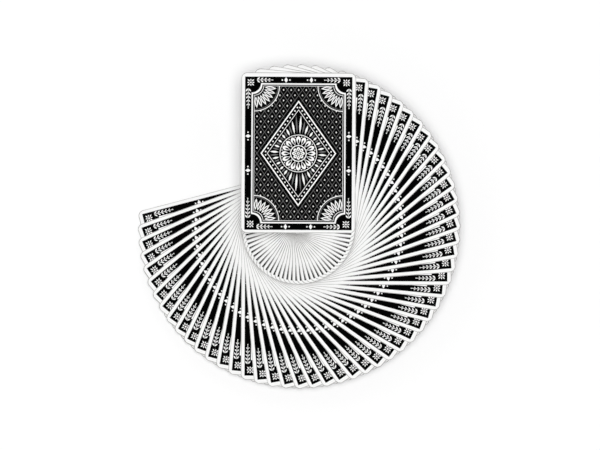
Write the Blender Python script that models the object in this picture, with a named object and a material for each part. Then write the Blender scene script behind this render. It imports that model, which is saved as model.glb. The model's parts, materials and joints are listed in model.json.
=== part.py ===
"""A deck of playing cards spread face down in a fan.

The cards lie flat on one another and turn about one upright axis near their lower ends,
where a hand pinches the pack.  The origin is on that axis, at the underside of the lowest
card.  +Y runs along the top card and +Z is up.  All lengths are in metres.
"""

import math

import bmesh
import bpy

# One card
CARD_WIDTH = 0.0635
CARD_LENGTH = 0.0889
CARD_THICKNESS = 0.00028
CORNER_RADIUS = 0.0032
CORNER_SEGMENTS = 6

# The fan
AIR_GAP = 0.00002
PIVOT_FROM_END = 0.0031
FAN_STEP = math.radians(5.0)

# The order of a new pack from the top card down: two suits run up and two run down
RANKS = (
    "ace", "two", "three", "four", "five", "six", "seven",
    "eight", "nine", "ten", "jack", "queen", "king",
)
SUITS_RUNNING_UP = ("spades", "diamonds")
SUITS_RUNNING_DOWN = ("clubs", "hearts")

STOCK_COLOUR = (0.93, 0.93, 0.92, 1.0)
STOCK_ROUGHNESS = 0.45
SHARP_ANGLE = math.radians(30.0)


def clear_scene():
    """Remove whatever the file opened with."""
    for obj in list(bpy.data.objects):
        bpy.data.objects.remove(obj, do_unlink=True)


def card_stock():
    """White coated card, the same for every card of the pack."""
    material = bpy.data.materials.new("card_stock")
    material.use_nodes = True
    shader = material.node_tree.nodes["Principled BSDF"]
    shader.inputs["Base Color"].default_value = STOCK_COLOUR
    shader.inputs["Roughness"].default_value = STOCK_ROUGHNESS
    shader.inputs["Metallic"].default_value = 0.0
    material.diffuse_color = STOCK_COLOUR
    return material


def card_blank(stock):
    """The mesh that all cards share: a thin box with round corners, its origin on the fan's axis."""
    bm = bmesh.new()
    bmesh.ops.create_cube(bm, size=1.0)
    bmesh.ops.scale(bm, vec=(CARD_WIDTH, CARD_LENGTH, CARD_THICKNESS), verts=bm.verts)
    corners = [edge for edge in bm.edges if edge.verts[0].co.xy == edge.verts[1].co.xy]
    bmesh.ops.bevel(
        bm,
        geom=corners,
        offset=CORNER_RADIUS,
        offset_type="OFFSET",
        affect="EDGES",
        segments=CORNER_SEGMENTS,
        profile=0.5,
        material=-1,
    )
    to_axis = (0.0, CARD_LENGTH / 2 - PIVOT_FROM_END, CARD_THICKNESS / 2)
    bmesh.ops.translate(bm, vec=to_axis, verts=bm.verts)
    mesh = bpy.data.meshes.new("card_blank")
    bm.to_mesh(mesh)
    bm.free()
    mesh.materials.append(stock)
    mesh.shade_smooth()
    mesh.set_sharp_from_angle(angle=SHARP_ANGLE)
    return mesh


def names_from_the_top():
    """Each card's name, from the top of the pack to the bottom."""
    runs = [(suit, RANKS) for suit in SUITS_RUNNING_UP]
    runs += [(suit, RANKS[::-1]) for suit in SUITS_RUNNING_DOWN]
    return [f"{rank}_of_{suit}" for suit, ranks in runs for rank in ranks]


def spread_cards(blank, names, axis, collection):
    """Lay the cards in a fan: each one is a step further clockwise than the card on top of it."""
    pitch = CARD_THICKNESS + AIR_GAP
    for steps_down, name in enumerate(names):
        cards_below = len(names) - 1 - steps_down
        card = bpy.data.objects.new(name, blank)
        card.parent = axis
        card.location.z = cards_below * pitch
        card.rotation_euler.z = -steps_down * FAN_STEP
        collection.objects.link(card)


def main():
    clear_scene()
    deck = bpy.data.collections.new("playing_card_deck")
    bpy.context.scene.collection.children.link(deck)
    axis = bpy.data.objects.new("fan_axis", None)
    deck.objects.link(axis)
    blank = card_blank(card_stock())
    spread_cards(blank, names_from_the_top(), axis, deck)


main()
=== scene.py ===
"""A fanned deck of playing cards, dressed on the frame of its solids.

Each solid card gives way to a thin card with rounded rims.  Its back and its face are cut into inked and
bare areas, so the print is as sharp as its outlines, and the card keeps the place and size of its solid.
All lengths are in metres.
"""

import json
import math

import bmesh
import bpy
from bpy.props import FloatProperty, FloatVectorProperty, IntProperty, PointerProperty
from mathutils import Matrix, Vector
from mathutils.geometry import delaunay_2d_cdt

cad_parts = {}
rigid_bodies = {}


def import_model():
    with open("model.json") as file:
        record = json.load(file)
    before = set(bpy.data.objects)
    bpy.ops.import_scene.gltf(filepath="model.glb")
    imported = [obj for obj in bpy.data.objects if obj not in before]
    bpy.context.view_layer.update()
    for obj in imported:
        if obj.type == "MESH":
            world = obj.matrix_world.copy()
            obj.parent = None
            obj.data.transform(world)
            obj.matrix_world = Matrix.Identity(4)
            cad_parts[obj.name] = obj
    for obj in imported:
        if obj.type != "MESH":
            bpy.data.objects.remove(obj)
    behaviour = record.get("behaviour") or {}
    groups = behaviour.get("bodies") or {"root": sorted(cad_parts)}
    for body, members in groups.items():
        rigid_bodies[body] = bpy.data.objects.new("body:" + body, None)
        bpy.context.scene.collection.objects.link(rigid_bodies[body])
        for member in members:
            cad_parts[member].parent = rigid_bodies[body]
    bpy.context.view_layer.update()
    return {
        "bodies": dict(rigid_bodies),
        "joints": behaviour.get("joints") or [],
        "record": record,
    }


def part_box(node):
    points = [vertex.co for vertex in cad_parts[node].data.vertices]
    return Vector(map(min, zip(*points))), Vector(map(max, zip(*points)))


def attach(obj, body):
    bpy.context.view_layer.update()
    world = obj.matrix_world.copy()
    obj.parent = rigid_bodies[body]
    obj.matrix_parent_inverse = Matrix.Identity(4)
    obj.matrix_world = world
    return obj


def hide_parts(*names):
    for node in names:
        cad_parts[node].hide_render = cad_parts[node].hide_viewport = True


bl_info = {
    "name": "Fanned Card Deck",
    "version": (1, 0, 0),
    "blender": (4, 5, 0),
    "location": "3D View > Sidebar > Card Deck",
    "description": "Dresses a fanned deck of playing cards with printed backs and faces",
    "category": "Object",
}

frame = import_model()

# The fan, from the frame: the leading joint turns the top card, and the others follow it
SHARES = {row["joint"]: row["ratio"] for row in frame["record"]["behaviour"]["couplings"]}
LEAD = next(joint for joint in frame["joints"] if joint["name"] not in SHARES)
CLOSING_TURN = math.radians(LEAD["range_deg"][1])
TOP_CARD = LEAD["child"]
TOP_LOW, TOP_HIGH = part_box(TOP_CARD)
CARD_WIDTH, CARD_LENGTH, CARD_THICKNESS = TOP_HIGH - TOP_LOW
CARD_MIDDLE = Vector((0.0, (TOP_LOW.y + TOP_HIGH.y) / 2, CARD_THICKNESS / 2))

# Materials of a card, in the order of its slots
INKS = ("bare_stock", "worn_shaded_rim", "black_ink", "grey_ink", "red_ink", "cut_edge")
RED_SUITS = ("diamonds", "hearts")
VARNISH = 0.08

# Patterns follow a map in metres: the card's own plane on its flats, length and height on its rim
CARD_MAP = "card_plane"

# The map for baking is a unit square of tiles, three for the back below three for the face.  Each ink has
# a tile to itself, so a baked print keeps its sharp outlines.  The last tile holds the rim's four sides.
BAKE_MAP = "OFBake"
INK_COLUMNS = {"bare_stock": 0, "worn_shaded_rim": 0, "black_ink": 1, "red_ink": 1, "grey_ink": 2, "cut_edge": 2}
TILE_SIZE = Vector((1 / 3, 1 / 2))
TILE_GAP = 0.008
TILE_SCALE = (TILE_SIZE.x - 2 * TILE_GAP) / CARD_WIDTH
RIM_LENGTH = (TILE_SIZE.y - 2 * TILE_GAP) / CARD_LENGTH
RIM_STRIP = (TILE_SIZE.x - 2 * TILE_GAP) / 4
RIM_SHARE = 0.8

RIM_SHADE = "rim_shade"
RIM_SEGMENTS = 3
WELD = 1e-7
FLAT = 0.99
SAME_PLANE = 0.0005


class CardSizes(bpy.types.PropertyGroup):
    """Sizes of one card and of the print on its back"""

    corner_radius: FloatProperty(
        name="Corner radius", description="Radius of a card's round corners",
        default=0.0032, min=0.001, subtype="DISTANCE",
    )
    corner_segments: IntProperty(
        name="Corner segments", description="Straight runs in each round corner", default=10, min=2,
    )
    rim_round: FloatProperty(
        name="Rim rounding", description="How far the cut rim is rounded off",
        default=0.00013, min=0.00001, subtype="DISTANCE",
    )
    # Painted shade: this greyed strip stands for the shadow that each card casts on the card under it, as
    # well as for handling dirt.
    worn_shaded: FloatProperty(
        name="Worn and shaded strip", description="Width of the strip along the rim that fingers have greyed",
        default=0.0005, min=0.0001, max=0.002, subtype="DISTANCE",
    )
    border: FloatProperty(
        name="White border", description="Bare card between the rim and the printed panel",
        default=0.00205, min=0.0005, subtype="DISTANCE",
    )
    register: FloatProperty(
        name="Register", description="How far the print sits off the middle, towards the pinched end",
        default=0.0003, min=-0.001, max=0.001, subtype="DISTANCE",
    )
    band: FloatProperty(
        name="Black band", description="Width of the black band round the printed panel",
        default=0.0036, min=0.001, subtype="DISTANCE",
    )
    keyline: FloatProperty(
        name="Keyline", description="Width of the white line inside the black band",
        default=0.0008, min=0.0001, subtype="DISTANCE",
    )
    fine_line: FloatProperty(
        name="Fine line", description="Width of the thinnest white lines",
        default=0.00024, min=0.00005, subtype="DISTANCE",
    )
    bite: FloatProperty(
        name="Corner bite", description="Radius of the round bites in the keyline's corners",
        default=0.0052, min=0.001, subtype="DISTANCE",
    )
    trellis: FloatProperty(
        name="Trellis pitch", description="Distance between the lines of the trellis",
        default=0.0034, min=0.001, subtype="DISTANCE",
    )
    medallion_width: FloatProperty(
        name="Medallion width", description="Width of the middle medallion",
        default=0.0420, min=0.01, subtype="DISTANCE",
    )
    medallion_height: FloatProperty(
        name="Medallion height", description="Height of the middle medallion",
        default=0.0588, min=0.01, subtype="DISTANCE",
    )
    rosette: FloatProperty(
        name="Rosette radius", description="Radius of the rosette in the medallion",
        default=0.0104, min=0.002, subtype="DISTANCE",
    )


class CardColours(bpy.types.PropertyGroup):
    """Colours of the card stock and its inks"""

    stock: FloatVectorProperty(
        name="Card stock", description="White coated paper",
        default=(0.93, 0.93, 0.925), min=0.0, max=1.0, subtype="COLOR",
    )
    # Painted shade: this grey darkens the rim strip as the shadow between cards as well as handling dirt;
    # the stock's faint fibre also leans towards it.
    worn_shaded: FloatVectorProperty(
        name="Worn and shaded stock", description="The stock where fingers have greyed it",
        default=(0.30, 0.29, 0.28), min=0.0, max=1.0, subtype="COLOR",
    )
    black: FloatVectorProperty(
        name="Black ink", description="Full black of the back and the black suits",
        default=(0.0003, 0.0003, 0.0003), min=0.0, max=1.0, subtype="COLOR",
    )
    grey: FloatVectorProperty(
        name="Grey ink", description="Half tone of the back",
        default=(0.16, 0.16, 0.16), min=0.0, max=1.0, subtype="COLOR",
    )
    red: FloatVectorProperty(
        name="Red ink", description="Red of the red suits",
        default=(0.55, 0.012, 0.016), min=0.0, max=1.0, subtype="COLOR",
    )
    # Painted shade: the dark arrises stand for the dark line where one card's edge meets the next, as well
    # as for dirt.
    grime_and_shade: FloatVectorProperty(
        name="Edge grime and shade", description="Grey of the glue line and of the handled arrises of the cut edge",
        default=(0.08, 0.078, 0.075), min=0.0, max=1.0, subtype="COLOR",
    )


class StudioSettings(bpy.types.PropertyGroup):
    """Camera and light"""

    camera_place: FloatVectorProperty(
        name="Camera place", description="Where the camera hangs above the fan",
        default=(0.00110, 0.00142, 0.6896), subtype="TRANSLATION",
    )
    camera_roll: FloatProperty(
        name="Camera roll", description="Turn of the camera about its own line of sight",
        default=math.radians(0.3), subtype="ANGLE",
    )
    lens: FloatProperty(
        name="Lens", description="Focal length in millimetres on a 36 mm sensor", default=73.05, min=10.0,
    )
    key_light: FloatProperty(
        name="Overhead light", description="Strength of the soft overhead light", default=2.49, min=0.0,
    )
    key_spread: FloatProperty(
        name="Overhead spread", description="Angle that the overhead light covers",
        default=math.radians(62.0), subtype="ANGLE",
    )
    fill_light: FloatProperty(
        name="Fill light", description="Strength of the light from above, all round", default=0.05, min=0.0,
    )
    side_light: FloatProperty(
        name="Side light", description="Strength of the light from low down, all round",
        default=2.0, min=0.0,
    )


# Outlines, drawn round the origin or along +X from it

def on_circle(radius, turn):
    """A point at a distance from the origin."""
    return (radius * math.cos(turn), radius * math.sin(turn))


def disc(radius, points):
    """A circle."""
    return [on_circle(radius, math.tau * i / points) for i in range(points)]


def box(half_width, half_height):
    """An upright rectangle."""
    return [
        (-half_width, -half_height), (half_width, -half_height),
        (half_width, half_height), (-half_width, half_height),
    ]


def lozenge(half_width, half_height):
    """A diamond on its point."""
    return [(half_width, 0.0), (0.0, half_height), (-half_width, 0.0), (0.0, -half_height)]


def ticket(half_width, half_height, bite, points):
    """A rectangle with a round bite out of each corner."""
    outline = []
    for corner, (side_x, side_y) in enumerate(((1, 1), (-1, 1), (-1, -1), (1, -1))):
        start = math.radians(270.0 + 90.0 * corner)
        arc = [on_circle(bite, start - math.radians(90.0) * i / points) for i in range(points + 1)]
        outline += placed(arc, (side_x * half_width, side_y * half_height))
    return outline


def pointed_oval(half_width, half_height, power, points):
    """An oval that draws out to a point at each end of its two axes as the power falls towards 1."""
    turns = [math.tau * i / points for i in range(points)]
    return [on_circle(oval_reach(half_width, half_height, power, turn), turn) for turn in turns]


def oval_reach(half_width, half_height, power, turn):
    """Distance from the middle of a pointed oval to its outline, in one direction."""
    across = abs(math.cos(turn) / half_width) ** power
    upward = abs(math.sin(turn) / half_height) ** power
    return (across + upward) ** (-1.0 / power)


def leaf(length, width, steps=5):
    """A leaf with a point at both ends."""
    side = [
        (length * i / steps, width / 2 * math.sin(math.pi * i / steps)) for i in range(1, steps)
    ]
    return [(0.0, 0.0)] + [(x, -y) for x, y in side] + [(length, 0.0)] + side[::-1]


def petal(length, width, steps=6):
    """A petal, narrow at its root and blunt at its end."""
    lean, bluntness = 1.7, 0.8
    side = []
    for i in range(1, steps):
        along = i / steps
        side.append((length * along, width / 2 * math.sin(math.pi * along ** lean) ** bluntness))
    return [(0.0, 0.0)] + [(x, -y) for x, y in side] + [(length, 0.0)] + side[::-1]


def placed(outline, root=(0.0, 0.0), turn=0.0):
    """An outline turned and then moved to its root."""
    cos, sin = math.cos(turn), math.sin(turn)
    return [(root[0] + cos * x - sin * y, root[1] + sin * x + cos * y) for x, y in outline]


def four_ways(outline):
    """An outline and its mirror images in both axes of the card."""
    return [[(side_x * x, side_y * y) for x, y in outline] for side_x in (1, -1) for side_y in (1, -1)]


def sector(radius, start, end, points):
    """A slice of a disc with its tip at the origin."""
    turns = [start + (end - start) * i / points for i in range(points + 1)]
    return [(0.0, 0.0)] + [on_circle(radius, turn) for turn in turns]


def span_in_box(root, turn, half):
    """Where a line through root enters and leaves an upright rectangle, measured from root."""
    start, end = -1.0, 1.0
    for place, slant, reach in zip(root, (math.cos(turn), math.sin(turn)), half):
        first, last = sorted(((-reach - place) / slant, (reach - place) / slant))
        start, end = max(start, first), min(end, last)
    return start, end


def drawn_in(sheet, corner_radius, distance):
    """A card's outline drawn in by a distance all round."""
    straight = Vector((CARD_WIDTH / 2 - corner_radius, CARD_LENGTH / 2 - corner_radius))
    outline = []
    for x, y in sheet:
        centre = Vector((max(-straight.x, min(straight.x, x)), max(-straight.y, min(straight.y, y))))
        arm = Vector((x, y)) - centre
        outline.append(tuple(centre + arm * (1.0 - distance / arm.length)))
    return outline


def runs_left(outline):
    """True if the outline runs anticlockwise."""
    ahead = outline[1:] + outline[:1]
    return sum(x * next_y - next_x * y for (x, y), (next_x, next_y) in zip(outline, ahead)) > 0


class Drawing:
    """Closed outlines laid over one another: where several cover a spot, the last one's ink shows"""

    def __init__(self, sheet):
        self.outlines = []
        self.inks = []
        self.fields = []
        self.middle = (0.0, 0.0)
        # The whole sheet starts as the greyed rim strip, handling dirt and painted shade; bare stock is laid
        # over all but its outer edge.
        self.lay("worn_shaded_rim", sheet)

    def lay(self, ink, outline, field=None):
        """Lay an outline on top, to show only within an earlier one if a field is named."""
        anticlockwise = outline if runs_left(outline) else outline[::-1]
        self.outlines.append(placed(anticlockwise, self.middle))
        self.inks.append(ink)
        self.fields.append(field)
        return len(self.outlines) - 1

    def lay_all(self, ink, outlines, field=None):
        """Lay several outlines of one ink."""
        for outline in outlines:
            self.lay(ink, outline, field)

    def ink_of(self, cover):
        """The ink of a spot that these outlines cover."""
        shown = [i for i in cover if self.fields[i] is None or self.fields[i] in cover]
        return self.inks[max(shown)]

    def flattened(self):
        """Points, cells and the ink of each cell; a point that came from the sheet has its number there."""
        points = [Vector(point) for outline in self.outlines for point in outline]
        rings, start = [], 0
        for outline in self.outlines:
            rings.append(list(range(start, start + len(outline))))
            start += len(outline)
        flat, _, cells, sources, _, covers = delaunay_2d_cdt(points, [], rings, 1, WELD)
        on_sheet = [next((i for i in source if i < len(self.outlines[0])), None) for source in sources]
        return flat, cells, [self.ink_of(cover) for cover in covers], on_sheet


# The back

def draw_back(drawing, sizes):
    """A trellis panel with a rayed medallion, in a black band with leaf sprigs, the same both ways up."""
    drawing.middle = (0.0, -sizes.register)
    half = Vector((CARD_WIDTH / 2 - sizes.border, CARD_LENGTH / 2 - sizes.border))
    inner = half - Vector((sizes.band, sizes.band))
    drawing.lay("black_ink", box(*half))
    field, field_half = draw_frame(drawing, sizes, inner)
    draw_trellis(drawing, sizes, field_half, field)
    draw_corner_fans(drawing, sizes, field_half, field)
    draw_medallion(drawing, sizes)
    draw_band(drawing, sizes, half, inner)


def draw_frame(drawing, sizes, inner):
    """The white keyline and the fine line in it; gives the field inside them and its half sizes."""
    line_gap, bite_points = 0.0006, 8
    fine_start = sizes.keyline + line_gap
    fine_end = fine_start + sizes.fine_line
    steps = (0.0, sizes.keyline, fine_start, fine_end)
    for step, ink in zip(steps, ("bare_stock", "black_ink", "bare_stock", "black_ink")):
        field = drawing.lay(ink, ticket(inner.x - step, inner.y - step, sizes.bite, bite_points))
    return field, inner - Vector((fine_end, fine_end))


def draw_trellis(drawing, sizes, field_half, field):
    """Crossing fine lines with a small lozenge in each mesh."""
    spot, spot_room = lozenge(0.00042, 0.00058), 0.0006
    slope = math.atan2(CARD_LENGTH, CARD_WIDTH)
    reach = field_half.x * math.sin(slope) + field_half.y * math.cos(slope)
    count = int(reach / sizes.trellis)
    for turn in (slope, -slope):
        for i in range(-count, count + 1):
            root = on_circle((i + 0.5) * sizes.trellis, turn + math.pi / 2)
            start, end = span_in_box(root, turn, field_half)
            if start < end:
                line = placed(box((end - start) / 2, sizes.fine_line / 2), ((start + end) / 2, 0.0))
                drawing.lay("grey_ink", placed(line, root, turn), field)
    step_x = sizes.trellis / math.sin(slope) / 2
    step_y = sizes.trellis / math.cos(slope) / 2
    for i in range(-2 * count, 2 * count + 1):
        for j in range(-2 * count, 2 * count + 1):
            x, y = i * step_x, j * step_y
            on_panel = abs(x) < field_half.x - spot_room and abs(y) < field_half.y - spot_room
            if (i + j) % 2 == 0 and on_panel:
                drawing.lay("bare_stock", placed(spot, (x, y)), field)


def draw_corner_fans(drawing, sizes, field_half, field):
    """A fan of leaves in each corner of the field, under an arch of two fine lines."""
    leaves, leaf_size, leaf_start = 7, (0.0064, 0.0019, 5), sizes.bite + 0.0006
    vein_size, vein_start = (0.0042, 0.0007, 4), sizes.bite + 0.0016
    arch_end, arch_points = sizes.bite + 0.0088, 20
    arch_turns = (math.radians(176.0), math.radians(274.0))
    arch_lines = (
        (0.0, "bare_stock"), (0.00045, "black_ink"), (0.0009, "grey_ink"), (0.0012, "black_ink"),
    )
    leaf_layers = (("bare_stock", leaf_start, leaf_size), ("black_ink", vein_start, vein_size))
    corner = tuple(field_half)
    for step, ink in arch_lines:
        arch = sector(arch_end - step, *arch_turns, arch_points)
        drawing.lay_all(ink, four_ways(placed(arch, corner)), field)
    for i in range(leaves):
        turn = math.radians(180.0 + 90.0 * (i + 0.5) / leaves)
        for ink, start, size in leaf_layers:
            root = placed([on_circle(start, turn)], corner)[0]
            drawing.lay_all(ink, four_ways(placed(leaf(*size), root, turn)), field)


def draw_medallion(drawing, sizes):
    """A lozenge of nested lines and beads with rays round a rosette."""
    beads, bead_radius, bead_inset = 14, 0.00045, 0.0022
    rays, ray_inset, ray_start = 48, 0.0046, sizes.rosette + 0.0006
    ray_kinds = ((0.0008, "grey_ink"), (0.00115, "bare_stock"))
    lines = (
        (-0.0014, "black_ink"), (0.0, "bare_stock"), (0.0009, "black_ink"),
        (0.0036, "bare_stock"), (0.0040, "black_ink"),
    )
    wide, high = sizes.medallion_width / 2, sizes.medallion_height / 2
    slim = high / wide
    for step, ink in lines:
        ground = drawing.lay(ink, lozenge(wide - step, high - step * slim))
    row = wide - bead_inset
    for i in range(beads):
        along = (i + 0.5) / beads
        place = (row * (1 - along), row * slim * along)
        drawing.lay_all("bare_stock", four_ways(placed(disc(bead_radius, 8), place)))
    for i in range(rays):
        turn = math.tau * (i + 0.5) / rays
        end = oval_reach(wide - ray_inset, high - ray_inset * slim, 1.0, turn)
        width, ink = ray_kinds[i % 2]
        ray = placed(leaf(end - ray_start, width), on_circle(ray_start, turn), turn)
        drawing.lay(ink, ray, ground)
    draw_rosette(drawing, sizes.rosette)


def draw_rosette(drawing, radius):
    """Two rings of petals round a small flower."""
    petals, petal_start, petal_size = 16, 0.0045, (radius - 0.0053, 0.0026)
    vein_start, vein_size = 0.0052, (0.0030, 0.0009)
    bead_radius, bead_row = 0.00034, radius - 0.0012
    for edge, ink in ((radius, "bare_stock"), (radius - 0.0004, "black_ink")):
        drawing.lay(ink, disc(edge, 64))
    for i in range(petals):
        turn = math.tau * i / petals
        between = turn + math.pi / petals
        drawing.lay("bare_stock", placed(disc(bead_radius, 8), on_circle(bead_row, between)))
        drawing.lay("bare_stock", placed(petal(*petal_size), on_circle(petal_start, turn), turn))
        drawing.lay("black_ink", placed(leaf(*vein_size), on_circle(vein_start, turn), turn))
    for edge, ink in ((0.0046, "bare_stock"), (0.0041, "black_ink")):
        drawing.lay(ink, disc(edge, 48))
    draw_flower(drawing, 0.0036)


def draw_flower(drawing, radius):
    """Eight petals with dark veins round a ringed spot, all sized as shares of the radius."""
    petals, petal_start, petal_length, petal_width = 8, 0.22, 0.78, 0.52
    vein_start, vein_length, vein_width = 0.45, 0.36, 0.12
    for i in range(petals):
        turn = math.tau * i / petals
        blade = petal(radius * petal_length, radius * petal_width)
        drawing.lay("bare_stock", placed(blade, on_circle(radius * petal_start, turn), turn))
        vein = leaf(radius * vein_length, radius * vein_width, 3)
        drawing.lay("black_ink", placed(vein, on_circle(radius * vein_start, turn), turn))
    for share, ink in ((0.30, "black_ink"), (0.22, "bare_stock"), (0.09, "black_ink")):
        drawing.lay(ink, disc(radius * share, 12))


def draw_star(drawing, place, radius):
    """Eight slim leaves round a spot, every other one shorter, all sized as shares of the radius."""
    leaves, leaf_start, leaf_lengths, leaf_width, spot = 8, 0.30, (0.50, 0.70), 0.28, 0.20
    for i in range(leaves):
        turn = math.tau * i / leaves
        root = placed([on_circle(radius * leaf_start, turn)], place)[0]
        blade = leaf(radius * leaf_lengths[i % 2], radius * leaf_width, 4)
        drawing.lay("bare_stock", placed(blade, root, turn))
    drawing.lay("bare_stock", placed(disc(radius * spot, 10), place))


def draw_band(drawing, sizes, half, inner):
    """Stars in the corners of the band, leaf sprigs along its sides and a stop beyond each sprig."""
    star_radius, star_shift = 0.0025, 0.0004
    sprig_room, long_pairs, short_pairs = 0.0030, 5, 4
    long_stop, short_stop = 0.0095, 0.0070
    for side_x in (1, -1):
        for side_y in (1, -1):
            place = (side_x * (inner.x + star_shift), side_y * (inner.y + star_shift))
            draw_star(drawing, place, star_radius)
    middle = half - Vector((sizes.band / 2, sizes.band / 2))
    draw_sprig(drawing, (middle.x, inner.y - sprig_room), math.radians(270.0), long_pairs)
    draw_sprig(drawing, (inner.x - sprig_room, middle.y), math.radians(180.0), short_pairs)
    draw_stop(drawing, (middle.x, long_stop), math.radians(90.0))
    draw_stop(drawing, (short_stop, middle.y), 0.0)


def draw_sprig(drawing, root, turn, pairs):
    """A stem with pairs of leaves that get smaller along it, in all four corners."""
    step, stem_width, tip_radius, tip_gap = 0.0021, 0.00024, 0.0003, 0.0003
    leaf_length, leaf_width, leaf_shift = 0.0021, 0.0008, 0.0002
    leaf_lean, shrink = math.radians(38.0), 0.55
    half_length = step * pairs / 2
    stem_root = placed([(half_length, 0.0)], root, turn)[0]
    drawing.lay_all("bare_stock", four_ways(placed(box(half_length, stem_width / 2), stem_root, turn)))
    for i in range(pairs):
        size = 1.0 - shrink * i / pairs
        blade = leaf(leaf_length * size, leaf_width * size, 4)
        for side in (1, -1):
            leaf_root = placed([(step * i, side * leaf_shift)], root, turn)[0]
            drawing.lay_all("bare_stock", four_ways(placed(blade, leaf_root, turn + side * leaf_lean)))
    tip = placed([(step * pairs + tip_gap, 0.0)], root, turn)[0]
    drawing.lay_all("bare_stock", four_ways(placed(disc(tip_radius, 8), tip)))


def draw_stop(drawing, place, turn):
    """A lozenge across the band between two spots."""
    half_width, half_height, spot_radius, spot_shift = 0.0010, 0.0016, 0.00042, 0.0021
    drawing.lay_all("bare_stock", four_ways(placed(lozenge(half_width, half_height), place, turn)))
    for shift in (-spot_shift, spot_shift):
        spot = placed([(shift, 0.0)], place, turn)[0]
        drawing.lay_all("bare_stock", four_ways(placed(disc(spot_radius, 10), spot)))


# The faces

PIP_ROWS = {
    "two": ((), (0, 1)),
    "three": ((), (0, 1 / 2, 1)),
    "four": ((0, 1), ()),
    "five": ((0, 1), (1 / 2,)),
    "six": ((0, 1 / 2, 1), ()),
    "seven": ((0, 1 / 2, 1), (3 / 4,)),
    "eight": ((0, 1 / 2, 1), (1 / 4, 3 / 4)),
    "nine": ((0, 1 / 3, 2 / 3, 1), (1 / 2,)),
    "ten": ((0, 1 / 3, 2 / 3, 1), (1 / 6, 5 / 6)),
}
INDEX_TEXTS = {
    "ace": "A", "two": "2", "three": "3", "four": "4", "five": "5", "six": "6", "seven": "7",
    "eight": "8", "nine": "9", "ten": "10", "jack": "J", "queen": "Q", "king": "K",
}
INDEX_INSET = 0.0050
INDEX_DROP = 0.0074
INDEX_HEIGHT = 0.0072
INDEX_WIDTH = 0.0056
INDEX_STEP = 0.0078
INDEX_SIGN = 0.0056
ACE_SIGN = 0.0190
PIP_SIGN = 0.0108
PIP_COLUMN = 0.0125
PIP_REACH = 0.0300
LETTER_WELD = 1e-5
CROWN_POINTS = {"jack": 3, "queen": 4, "king": 5}


def heart(size):
    """A heart, as high as its size: a sum of cosines upwards and a cubed sine across."""
    points, half_width, waves, full_height, rise = 32, 16, (13, -5, -2, -1), 29, 2.5
    outline = []
    for i in range(points):
        turn = math.tau * i / points
        across = half_width * math.sin(turn) ** 3
        upward = sum(wave * math.cos((n + 1) * turn) for n, wave in enumerate(waves)) + rise
        outline.append((across * size / full_height, upward * size / full_height))
    return outline


def foot(size):
    """The flared foot of a spade or club."""
    side = [(0.19, -0.5), (0.10, -0.44), (0.055, -0.34), (0.03, -0.05)]
    return [(x * size, y * size) for x, y in side] + [(-x * size, y * size) for x, y in side[::-1]]


def suit_sign(suit, size):
    """The outlines of a suit's sign, centred on the origin, with its parts as shares of its size."""
    if suit == "hearts":
        return [heart(size)]
    if suit == "diamonds":
        half_width, half_height, power = 0.39, 0.5, 0.9
        return [pointed_oval(size * half_width, size * half_height, power, 16)]
    if suit == "spades":
        blade, rise = 0.86, 0.07
        turned = placed(heart(size * blade), turn=math.pi)
        return [placed(turned, (0.0, size * rise)), foot(size)]
    lobe_radius, middle_radius = 0.225, 0.12
    lobe_places = ((0.0, 0.265), (0.245, -0.07), (-0.245, -0.07))
    lobe = disc(size * lobe_radius, 24)
    lobes = [placed(lobe, (size * x, size * y)) for x, y in lobe_places]
    return lobes + [disc(size * middle_radius, 12), foot(size)]


def lettering(text, height):
    """The outlines of a plain letter or number, centred on the origin; those of its holes run clockwise."""
    curve = bpy.data.curves.new(text, "FONT")
    curve.body = text
    curve.resolution_u = 4
    writer = bpy.data.objects.new(text, curve)
    mesh = bpy.data.meshes.new_from_object(writer)
    bm = bmesh.new()
    bm.from_mesh(mesh)
    bmesh.ops.remove_doubles(bm, verts=bm.verts, dist=LETTER_WELD)
    outlines = rim_outlines(bm)
    bm.free()
    bpy.data.objects.remove(writer)
    bpy.data.curves.remove(curve)
    bpy.data.meshes.remove(mesh)
    across = [x for outline in outlines for x, _ in outline]
    upward = [y for outline in outlines for _, y in outline]
    grow = height / (max(upward) - min(upward))
    narrow = grow * min(1.0, INDEX_WIDTH / ((max(across) - min(across)) * grow))
    middle_x, middle_y = (max(across) + min(across)) / 2, (max(upward) + min(upward)) / 2
    return [[((x - middle_x) * narrow, (y - middle_y) * grow) for x, y in outline] for outline in outlines]


def rim_outlines(bm):
    """The closed outlines of a flat mesh, with the mesh on their left."""
    ahead = {}
    for edge in bm.edges:
        if len(edge.link_loops) == 1:
            loop = edge.link_loops[0]
            ahead[loop.vert] = loop.link_loop_next.vert
    outlines = []
    while ahead:
        start, vert = ahead.popitem()
        outline = [tuple(start.co.xy)]
        while vert != start:
            outline.append(tuple(vert.co.xy))
            vert = ahead.pop(vert)
        outlines.append(outline)
    return outlines


def draw_face(drawing, card):
    """Corner indices and the pips, ace or court panel of one card."""
    rank, suit = card.split("_of_")
    ink = "red_ink" if suit in RED_SUITS else "black_ink"
    corner = (INDEX_INSET - CARD_WIDTH / 2, CARD_LENGTH / 2 - INDEX_DROP)
    letters = [placed(outline, corner) for outline in lettering(INDEX_TEXTS[rank], INDEX_HEIGHT)]
    sign_place = (corner[0], corner[1] - INDEX_STEP)
    signs = [placed(outline, sign_place) for outline in suit_sign(suit, INDEX_SIGN)]
    for outline in sorted(letters, key=runs_left, reverse=True) + signs:
        line_ink = ink if runs_left(outline) or outline in signs else "bare_stock"
        drawing.lay_all(line_ink, (outline, placed(outline, turn=math.pi)))
    if rank == "ace":
        drawing.lay_all(ink, suit_sign(suit, ACE_SIGN))
    elif rank in PIP_ROWS:
        draw_pips(drawing, ink, suit, PIP_ROWS[rank])
    else:
        draw_court(drawing, ink, suit, CROWN_POINTS[rank])


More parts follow.
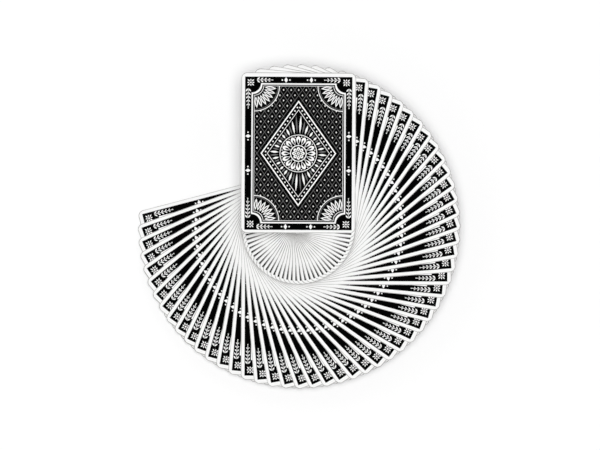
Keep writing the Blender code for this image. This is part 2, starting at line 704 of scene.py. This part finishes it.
def draw_pips(drawing, ink, suit, rows):
    """Two outer columns and a middle one of pips; those in the lower half stand on their heads."""
    places = [(side * PIP_COLUMN, row) for row in rows[0] for side in (1, -1)]
    places += [(0.0, row) for row in rows[1]]
    for x, row in places:
        turn = math.pi if row < 1 / 2 else 0.0
        place = (x, PIP_REACH * (2 * row - 1))
        drawing.lay_all(ink, [placed(outline, place, turn) for outline in suit_sign(suit, PIP_SIGN)])


def draw_court(drawing, ink, suit, points):
    """A framed panel with a crown and the suit's sign at both ends, and a rayed oval in the middle."""
    half_width, half_height = 0.0200, 0.0345
    lines = ((0.0, ink), (0.0005, "bare_stock"), (0.0012, ink), (0.00135, "bare_stock"))
    corner_sign, corner_place, crown_place = 0.0078, (-0.0142, 0.0284), (0.0, 0.0112)
    oval_width, oval_height, oval_line, power = 0.0140, 0.0088, 0.0004, 1.6
    rays, ray_start, ray_width, rays_wide, rays_high = 24, 0.0050, 0.0007, 0.0128, 0.0078
    middle_sign = 0.0072
    for step, line_ink in lines:
        drawing.lay(line_ink, box(half_width - step, half_height - step))
    for end in (0.0, math.pi):
        for outline in suit_sign(suit, corner_sign):
            drawing.lay(ink, placed(placed(outline, corner_place), turn=end))
        for outline, crown_ink in crown(points, ink):
            drawing.lay(crown_ink, placed(placed(outline, crown_place), turn=end))
    for step, line_ink in ((0.0, ink), (oval_line, "bare_stock")):
        drawing.lay(line_ink, pointed_oval(oval_width - step, oval_height - step, power, 48))
    for i in range(rays):
        turn = math.tau * i / rays
        length = oval_reach(rays_wide, rays_high, power, turn) - ray_start
        drawing.lay(ink, placed(leaf(length, ray_width), on_circle(ray_start, turn), turn))
    drawing.lay_all(ink, suit_sign(suit, middle_sign))


def crown(points, ink):
    """Outlines and inks of a crown with so many points, on a jewelled band."""
    half_width, flare, rise, fall = 0.0105, 1.15, 0.0105, 0.0052
    ball_radius, ball_rise = 0.0011, 0.0009
    band, line_inset, line_width = 0.0030, 0.0002, 0.00036
    jewel_width, jewel_height, jewel_step = 0.0012, 0.0009, 0.0040
    low = [(-half_width, 0.0), (half_width, 0.0)]
    zigzag = []
    for i in range(2 * points - 1):
        x = half_width * flare * (1.0 - i / (points - 1))
        zigzag.append((x, rise if i % 2 == 0 else fall))
    shapes = [(low + zigzag, ink)]
    for x, _ in zigzag[::2]:
        shapes.append((placed(disc(ball_radius, 12), (x, rise + ball_rise)), ink))
    shapes.append((placed(box(half_width - line_inset, line_width / 2), (0.0, band)), "bare_stock"))
    for i in range(-2, 3):
        shapes.append((placed(lozenge(jewel_width, jewel_height), (i * jewel_step, band / 2)), "bare_stock"))
    return shapes


# Cards

def card_body(sizes):
    """A flat card about the origin with round corners and rounded rims."""
    bm = bmesh.new()
    bmesh.ops.create_cube(bm, size=1.0)
    bmesh.ops.scale(bm, vec=(CARD_WIDTH, CARD_LENGTH, CARD_THICKNESS), verts=bm.verts)
    upright = [edge for edge in bm.edges if edge.verts[0].co.xy == edge.verts[1].co.xy]
    bmesh.ops.bevel(
        bm, geom=upright, offset=sizes.corner_radius, offset_type="OFFSET", affect="EDGES",
        segments=sizes.corner_segments, profile=0.5, material=-1,
    )
    rims = [edge for edge in bm.edges if edge.verts[0].co.z == edge.verts[1].co.z]
    bmesh.ops.bevel(
        bm, geom=rims, offset=sizes.rim_round, offset_type="OFFSET", affect="EDGES",
        segments=RIM_SEGMENTS, profile=0.5, material=-1,
    )
    bm.normal_update()
    return bm


def map_rim(bm):
    """Give the rim its maps, its material and its shade."""
    card_map = bm.loops.layers.uv.new(CARD_MAP)
    bake_map = bm.loops.layers.uv.new(BAKE_MAP)
    shade = bm.verts.layers.float.new(RIM_SHADE)
    for face in bm.faces:
        if abs(face.normal.z) > FLAT:
            continue
        face.smooth = True
        face.material_index = INKS.index("cut_edge")
        sideways = abs(face.normal.x) > abs(face.normal.y)
        strip = (-2 if sideways else 0) + (0 if face.normal.x + face.normal.y > 0 else 1)
        for loop in face.loops:
            place = loop.vert.co
            along = place.y if sideways else place.x
            height = place.z + CARD_THICKNESS / 2
            loop[card_map].uv = (along, height)
            across = (strip + height / CARD_THICKNESS * RIM_SHARE) * RIM_STRIP
            loop[bake_map].uv = tile_middle("cut_edge", -1) + Vector((across, along * RIM_LENGTH))
            loop.vert[shade] = 1.0


def tile_middle(ink, facing):
    """The middle of an ink's tile on the map for baking; facing is 1 for the back and -1 for the face."""
    row = 0 if facing > 0 else 1
    return Vector((INK_COLUMNS[ink] + 0.5, row + 0.5)) * TILE_SIZE


def print_on(bm, flat, sizes, facing, draw, subject):
    """Cut one flat of a card into the areas of a drawing; facing is 1 for the back and -1 for the face."""
    card_map = bm.loops.layers.uv[CARD_MAP]
    bake_map = bm.loops.layers.uv[BAKE_MAP]
    ring = list(flat.verts)
    height = ring[0].co.z
    sheet = [(facing * vert.co.x, vert.co.y) for vert in ring]
    drawing = Drawing(sheet)
    # Bare stock over all but a strip along the rim, which stays grey as handling dirt and as painted shade
    # between cards.
    drawing.lay("bare_stock", drawn_in(sheet, sizes.corner_radius, sizes.worn_shaded))
    draw(drawing, subject)
    points, cells, inks, on_sheet = drawing.flattened()
    bmesh.ops.delete(bm, geom=[flat], context="FACES_ONLY")
    verts = []
    for point, number in zip(points, on_sheet):
        if number is None:
            verts.append(bm.verts.new((facing * point.x, point.y, height)))
        else:
            verts.append(ring[number])
    for cell, ink in zip(cells, inks):
        face = bm.faces.new([verts[i] for i in cell])
        face.material_index = INKS.index(ink)
        for loop, i in zip(face.loops, cell):
            loop[card_map].uv = points[i]
            loop[bake_map].uv = tile_middle(ink, facing) + points[i] * TILE_SCALE
    for first, second in zip(ring, ring[1:] + ring[:1]):
        bm.edges.get((first, second)).smooth = False


def merge_areas(bm):
    """Join the cells of a print that have the same ink."""
    bm.normal_update()
    bmesh.ops.dissolve_limit(
        bm, angle_limit=SAME_PLANE, use_dissolve_boundaries=False,
        verts=bm.verts, edges=bm.edges, delimit={"MATERIAL", "SHARP"},
    )


def blank_card(scene):
    """The mesh of a card with its printed back, made once."""
    if "blank_card" in bpy.data.meshes:
        return bpy.data.meshes["blank_card"]
    bm = card_body(scene.card_sizes)
    map_rim(bm)
    back = max(bm.faces, key=lambda face: face.calc_center_median().z)
    print_on(bm, back, scene.card_sizes, 1, draw_back, scene.card_sizes)
    merge_areas(bm)
    mesh = bpy.data.meshes.new("blank_card")
    bm.to_mesh(mesh)
    bm.free()
    for ink in INKS:
        mesh.materials.append(bpy.data.materials[ink])
    return mesh


def turn_at_rest(card):
    """How far a card is turned about the fan's axis, where the top card's turn is 0."""
    joint = next((joint for joint in frame["joints"] if joint["child"] == card), None)
    share = 0.0 if joint is None else SHARES.get(joint["name"], 1.0)
    return CLOSING_TURN * (share - 1.0)


def dress_card(card, scene):
    """Make one card where its solid lies, and let it stand for the solid."""
    mesh = blank_card(scene).copy()
    mesh.name = f"{card}_card"
    bm = bmesh.new()
    bm.from_mesh(mesh)
    face = min(bm.faces, key=lambda face: face.calc_center_median().z)
    print_on(bm, face, scene.card_sizes, -1, draw_face, card)
    merge_areas(bm)
    bmesh.ops.translate(bm, vec=CARD_MIDDLE + Vector((0.0, 0.0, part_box(card)[0].z)), verts=bm.verts)
    turn = Matrix.Rotation(turn_at_rest(card), 3, "Z")
    bmesh.ops.rotate(bm, cent=(0.0, 0.0, 0.0), matrix=turn, verts=bm.verts)
    bm.to_mesh(mesh)
    bm.free()
    piece = bpy.data.objects.new(f"{card}_card", mesh)
    scene.collection.objects.link(piece)
    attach(piece, card)
    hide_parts(card)


# Materials

EMBOSS_PITCH = 0.0008
RELIEF_DEPTH = 0.000006
RELIEF_STRENGTH = 0.8
SMOOTHEST, ROUGHEST = 0.40, 0.56
FIBRE_SCALE = 900.0
FIBRE_DETAIL = 4.0
FIBRE_ROUGHNESS = 0.65
FIBRE_TINT = 0.03
INK_FIBRE = (0.45, 0.85)
THIN_INK = 1.25
PATCH_DETAIL = 3.0
# The next three set the grey along the rim strip, which is handling dirt and painted shade between cards.
WEAR_AND_SHADE_SCALE = 160.0
WEAR_AND_SHADE_POWER = 2.0
RIM_WEAR_AND_SHADE = 1.6
SOIL_SCALE = (12.0, 12.0, 2200.0)
SOIL_NOISE = (0.38, 0.72)
MOST_SOIL = 0.45

# How dark the cut edge is, from its face's arris over the glue line to its back's arris.
# The dark arrises are dirt and painted shade: they stand for the dark line between one card and the next.
EDGE_SHADES = ((0.0, 0.4), (0.10, 0.0), (0.44, 0.0), (0.50, 0.25), (0.56, 0.0), (0.90, 0.0), (1.0, 1.0))


def add_node(tree, kind, inputs=None, **settings):
    """A new node with its settings, whose inputs get values or the outputs of other nodes."""
    node = tree.nodes.new(kind)
    for setting, value in settings.items():
        setattr(node, setting, value)
    for name, value in (inputs or {}).items():
        if isinstance(value, bpy.types.NodeSocket):
            tree.links.new(value, node.inputs[name])
        else:
            node.inputs[name].default_value = value
    return node


def add_math(tree, operation, *values, clamp=False):
    """The result of one step of arithmetic on values or on the outputs of other nodes."""
    inputs = dict(enumerate(values))
    return add_node(tree, "ShaderNodeMath", inputs, operation=operation, use_clamp=clamp).outputs[0]


def new_group(name, given, results):
    """A node group with one number input and some number outputs; gives it and its input."""
    group = bpy.data.node_groups.new(name, "ShaderNodeTree")
    group.interface.new_socket(given, in_out="INPUT", socket_type="NodeSocketFloat")
    for result in results:
        group.interface.new_socket(result, in_out="OUTPUT", socket_type="NodeSocketFloat")
    return group, add_node(group, "NodeGroupInput").outputs[given]


def place_group(tree, name, make, value):
    """A node group in a tree, made the first time, with a value on its input."""
    group = bpy.data.node_groups.get(name) or make()
    return add_node(tree, "ShaderNodeGroup", {0: value}, node_tree=group)


def grain_group():
    """The emboss of the coating as a height, and the cloudy fibre of the paper as a mask."""
    group, pitch = new_group("card_grain", "Emboss Pitch", ("Emboss", "Fibre"))
    waves = add_math(group, "DIVIDE", math.tau, pitch)
    card_map = add_node(group, "ShaderNodeUVMap", uv_map=CARD_MAP)
    stretch = add_node(
        group, "ShaderNodeVectorMath", {0: card_map.outputs["UV"], "Scale": waves}, operation="SCALE",
    )
    split = add_node(group, "ShaderNodeSeparateXYZ", {0: stretch.outputs[0]})
    ribs = [add_math(group, "SINE", split.outputs[axis]) for axis in "XY"]
    emboss = add_math(group, "MULTIPLY", *ribs)
    places = add_node(group, "ShaderNodeTexCoord").outputs["Object"]
    cloud = add_node(
        group, "ShaderNodeTexNoise",
        {"Vector": places, "Scale": FIBRE_SCALE, "Detail": FIBRE_DETAIL, "Roughness": FIBRE_ROUGHNESS},
    )
    add_node(group, "NodeGroupOutput", {"Emboss": emboss, "Fibre": cloud.outputs["Fac"]})
    return group


def wear_and_shade_group():
    """Where the stock near the rim is greyed, as a mask: dirt from handling and painted shade between cards.
    """
    group, amount = new_group("card_wear_and_shade", "Amount", ("Wear And Shade",))
    rim = add_node(group, "ShaderNodeAttribute", attribute_name=RIM_SHADE)
    near = add_math(group, "POWER", rim.outputs["Fac"], WEAR_AND_SHADE_POWER)
    places = add_node(group, "ShaderNodeTexCoord").outputs["Object"]
    patches = add_node(
        group, "ShaderNodeTexNoise", {"Vector": places, "Scale": WEAR_AND_SHADE_SCALE, "Detail": PATCH_DETAIL},
    )
    worn_and_shaded = add_math(group, "MULTIPLY", near, patches.outputs["Fac"])
    add_node(group, "NodeGroupOutput", {"Wear And Shade": add_math(group, "MULTIPLY", worn_and_shaded, amount)})
    return group


def new_material(name, relief):
    """A varnished material with the grain of the card on its roughness and, as relief, on its normal."""
    material = bpy.data.materials.new(name)
    material.use_nodes = True
    tree = material.node_tree
    shader = tree.nodes["Principled BSDF"]
    shader.inputs["Specular IOR Level"].default_value = VARNISH
    grain = place_group(tree, "card_grain", grain_group, EMBOSS_PITCH)
    rough = add_node(
        tree, "ShaderNodeMapRange",
        {"Value": grain.outputs["Fibre"], "To Min": SMOOTHEST, "To Max": ROUGHEST},
    )
    bump = add_node(
        tree, "ShaderNodeBump",
        {"Height": grain.outputs[relief], "Strength": RELIEF_STRENGTH, "Distance": RELIEF_DEPTH},
    )
    tree.links.new(rough.outputs["Result"], shader.inputs["Roughness"])
    tree.links.new(bump.outputs["Normal"], shader.inputs["Normal"])
    return tree, grain


def tint(tree, mask, colour, second):
    """Colour a material from one colour to a second one by a mask."""
    mix = add_node(
        tree, "ShaderNodeMix", {"Factor": mask, "A": (*colour, 1.0), "B": (*second, 1.0)}, data_type="RGBA",
    )
    tree.links.new(mix.outputs["Result"], tree.nodes["Principled BSDF"].inputs["Base Color"])


def stock_material(name, colours, worn_and_shaded):
    """White coated stock with faint fibre, greyed towards the rim for the rim strip; that grey is handling
    dirt and painted shade between cards.
    """
    tree, grain = new_material(name, "Emboss")
    # Painted shade and handling dirt: the rim strip greys towards its edge.
    wear_and_shade = 0.0
    if worn_and_shaded:
        wear_and_shade = place_group(tree, "card_wear_and_shade", wear_and_shade_group, RIM_WEAR_AND_SHADE).outputs["Wear And Shade"]
    grey = add_math(tree, "MULTIPLY_ADD", grain.outputs["Fibre"], FIBRE_TINT, wear_and_shade, clamp=True)
    tint(tree, grey, colours.stock, colours.worn_shaded)


def ink_material(name, colour):
    """Ink that lets a little of the paper's fibre through."""
    tree, grain = new_material(name, "Emboss")
    least, most = INK_FIBRE
    thin = add_node(
        tree, "ShaderNodeMapRange",
        {"Value": grain.outputs["Fibre"], "From Min": least, "From Max": most},
    )
    tint(tree, thin.outputs["Result"], colour, [part * THIN_INK for part in colour])


def edge_material(colours):
    """The cut edge: pale plies, a glue line, dark arrises that are dirt and painted shade, and soil that
    differs from card to card.
    """
    tree, _ = new_material("cut_edge", "Fibre")
    card_map = add_node(tree, "ShaderNodeUVMap", uv_map=CARD_MAP)
    split = add_node(tree, "ShaderNodeSeparateXYZ", {0: card_map.outputs["UV"]})
    through = add_node(tree, "ShaderNodeMapRange", {"Value": split.outputs["Y"], "From Max": CARD_THICKNESS})
    plies = add_node(tree, "ShaderNodeValToRGB", {"Fac": through.outputs["Result"]})
    elements = plies.color_ramp.elements
    while len(elements) < len(EDGE_SHADES):
        elements.new(0.5)
    for element, (height, shade) in zip(elements, EDGE_SHADES):
        element.position = height
        element.color = (shade, shade, shade, 1.0)
    places = add_node(tree, "ShaderNodeTexCoord").outputs["Object"]
    stretch = add_node(tree, "ShaderNodeMapping", {"Vector": places, "Scale": SOIL_SCALE})
    layers = add_node(
        tree, "ShaderNodeTexNoise",
        {"Vector": stretch.outputs["Vector"], "Scale": 1.0, "Detail": PATCH_DETAIL},
    )
    least, most = SOIL_NOISE
    soil = add_node(
        tree, "ShaderNodeMapRange",
        {"Value": layers.outputs["Fac"], "From Min": least, "From Max": most, "To Max": MOST_SOIL},
    )
    # Painted shade as well as dirt: the dark arrises darken the line where the cards meet.
    grime_and_shade = add_math(tree, "ADD", plies.outputs["Color"], soil.outputs["Result"], clamp=True)
    tint(tree, grime_and_shade, colours.stock, colours.grime_and_shade)


# Stage

WHITE = (1.0, 1.0, 1.0)
FLOOR_HALF = 6.0
FLOOR_GAP = 0.00002
FLOOR_BOUNCE = (0.25, 0.25, 0.25)
LOW_SKY = math.radians(35.0)
SENSOR_WIDTH = 36.0
CAMERA_NEAR = 0.01


def add_floor(scene):
    """A plain white floor just under the lowest card, which gives little light back to the cards."""
    bm = bmesh.new()
    bmesh.ops.create_grid(bm, x_segments=1, y_segments=1, size=FLOOR_HALF)
    bmesh.ops.translate(bm, vec=(0.0, 0.0, -FLOOR_GAP), verts=bm.verts)
    mesh = bpy.data.meshes.new("floor")
    bm.to_mesh(mesh)
    bm.free()
    material = bpy.data.materials.new("white_floor")
    material.use_nodes = True
    tree = material.node_tree
    shader = tree.nodes["Principled BSDF"]
    shader.inputs["Roughness"].default_value = 1.0
    shader.inputs["Specular IOR Level"].default_value = 0.0
    seen = add_node(tree, "ShaderNodeLightPath").outputs["Is Camera Ray"]
    tint(tree, seen, FLOOR_BOUNCE, WHITE)
    mesh.materials.append(material)
    floor = bpy.data.objects.new("floor", mesh)
    scene.collection.objects.link(floor)


def add_lights(scene, studio):
    """A wide soft light from overhead, and a fill, stronger low down, that looks white to the camera."""
    lamp = bpy.data.lights.new("overhead_light", "SUN")
    lamp.energy = studio.key_light
    lamp.angle = studio.key_spread
    overhead = bpy.data.objects.new("overhead_light", lamp)
    overhead.visible_glossy = False
    scene.collection.objects.link(overhead)
    world = bpy.data.worlds.new("studio_world")
    scene.world = world
    world.use_nodes = True
    tree = world.node_tree
    fill = tree.nodes["Background"]
    fill.inputs["Color"].default_value = (*WHITE, 1.0)
    path = add_node(tree, "ShaderNodeLightPath")
    directions = add_node(tree, "ShaderNodeTexCoord")
    split = add_node(tree, "ShaderNodeSeparateXYZ", {0: directions.outputs["Generated"]})
    low = add_node(
        tree, "ShaderNodeMapRange",
        {"Value": split.outputs["Z"], "From Max": math.sin(LOW_SKY), "To Min": 1.0, "To Max": 0.0},
        interpolation_type="SMOOTHSTEP",
    ).outputs["Result"]
    backdrop = add_math(tree, "MULTIPLY", path.outputs["Is Glossy Ray"], low)
    seen = add_math(tree, "MAXIMUM", path.outputs["Is Camera Ray"], backdrop)
    level = add_node(
        tree, "ShaderNodeMapRange", {"Value": low, "To Min": studio.fill_light, "To Max": studio.side_light},
    )
    strength = add_node(tree, "ShaderNodeMix", {"Factor": seen, "A": level.outputs["Result"], "B": 1.0})
    tree.links.new(strength.outputs["Result"], fill.inputs["Strength"])


def add_camera(scene, studio):
    """A camera that looks straight down on the fan."""
    data = bpy.data.cameras.new("camera")
    data.sensor_width = SENSOR_WIDTH
    data.lens = studio.lens
    data.clip_start = CAMERA_NEAR
    camera = bpy.data.objects.new("camera", data)
    camera.location = studio.camera_place
    camera.rotation_euler.z = studio.camera_roll
    scene.collection.objects.link(camera)
    scene.camera = camera


# Operators

class DECK_OT_mix_inks(bpy.types.Operator):
    """Make the materials of the stock, the inks and the cut edge"""

    bl_idname = "deck.mix_inks"
    bl_label = "Mix Inks"

    def execute(self, context):
        colours = context.scene.card_colours
        stock_material("bare_stock", colours, worn_and_shaded=False)
        # The rim strip's grey is handling dirt and painted shade between cards.
        stock_material("worn_shaded_rim", colours, worn_and_shaded=True)
        ink_material("black_ink", colours.black)
        ink_material("grey_ink", colours.grey)
        ink_material("red_ink", colours.red)
        edge_material(colours)
        return {"FINISHED"}


class LaySuit:
    """What the operators of the four suits share"""

    suit = ""

    def execute(self, context):
        cards = [card for card in frame["bodies"] if card.endswith(f"_of_{self.suit}")]
        for card in cards:
            dress_card(card, context.scene)
        return {"FINISHED"}


class DECK_OT_lay_spades(LaySuit, bpy.types.Operator):
    """Dress the thirteen spades"""

    bl_idname = "deck.lay_spades"
    bl_label = "Lay Spades"
    suit = "spades"


class DECK_OT_lay_diamonds(LaySuit, bpy.types.Operator):
    """Dress the thirteen diamonds"""

    bl_idname = "deck.lay_diamonds"
    bl_label = "Lay Diamonds"
    suit = "diamonds"


class DECK_OT_lay_clubs(LaySuit, bpy.types.Operator):
    """Dress the thirteen clubs"""

    bl_idname = "deck.lay_clubs"
    bl_label = "Lay Clubs"
    suit = "clubs"


class DECK_OT_lay_hearts(LaySuit, bpy.types.Operator):
    """Dress the thirteen hearts"""

    bl_idname = "deck.lay_hearts"
    bl_label = "Lay Hearts"
    suit = "hearts"


class DECK_OT_set_stage(bpy.types.Operator):
    """Set up the floor, the lights and the camera"""

    bl_idname = "deck.set_stage"
    bl_label = "Set Stage"

    def execute(self, context):
        scene = context.scene
        scene.view_settings.view_transform = "Standard"
        add_floor(scene)
        add_lights(scene, scene.card_studio)
        add_camera(scene, scene.card_studio)
        return {"FINISHED"}


class DECK_PT_sidebar(bpy.types.Panel):
    """Sizes, colours and steps of the card deck"""

    bl_label = "Card Deck"
    bl_idname = "DECK_PT_sidebar"
    bl_space_type = "VIEW_3D"
    bl_region_type = "UI"
    bl_category = "Card Deck"

    def draw(self, context):
        scene = context.scene
        for group in (scene.card_sizes, scene.card_colours, scene.card_studio):
            column = self.layout.column(align=True)
            for name in group.__annotations__:
                column.prop(group, name)
        for operator in OPERATORS:
            self.layout.operator(operator.bl_idname)


OPERATORS = (
    DECK_OT_mix_inks, DECK_OT_lay_spades, DECK_OT_lay_diamonds, DECK_OT_lay_clubs, DECK_OT_lay_hearts,
    DECK_OT_set_stage,
)
GROUPS = (CardSizes, CardColours, StudioSettings)
CLASSES = GROUPS + OPERATORS + (DECK_PT_sidebar,)


def register():
    for cls in CLASSES:
        bpy.utils.register_class(cls)
    bpy.types.Scene.card_sizes = PointerProperty(type=CardSizes)
    bpy.types.Scene.card_colours = PointerProperty(type=CardColours)
    bpy.types.Scene.card_studio = PointerProperty(type=StudioSettings)


def unregister():
    del bpy.types.Scene.card_studio
    del bpy.types.Scene.card_colours
    del bpy.types.Scene.card_sizes
    for cls in reversed(CLASSES):
        bpy.utils.unregister_class(cls)


def main():
    register()
    bpy.ops.deck.set_stage()
    bpy.ops.deck.mix_inks()
    bpy.ops.deck.lay_spades()
    bpy.ops.deck.lay_diamonds()
    bpy.ops.deck.lay_clubs()
    bpy.ops.deck.lay_hearts()


if __name__ == "__main__":
    main()
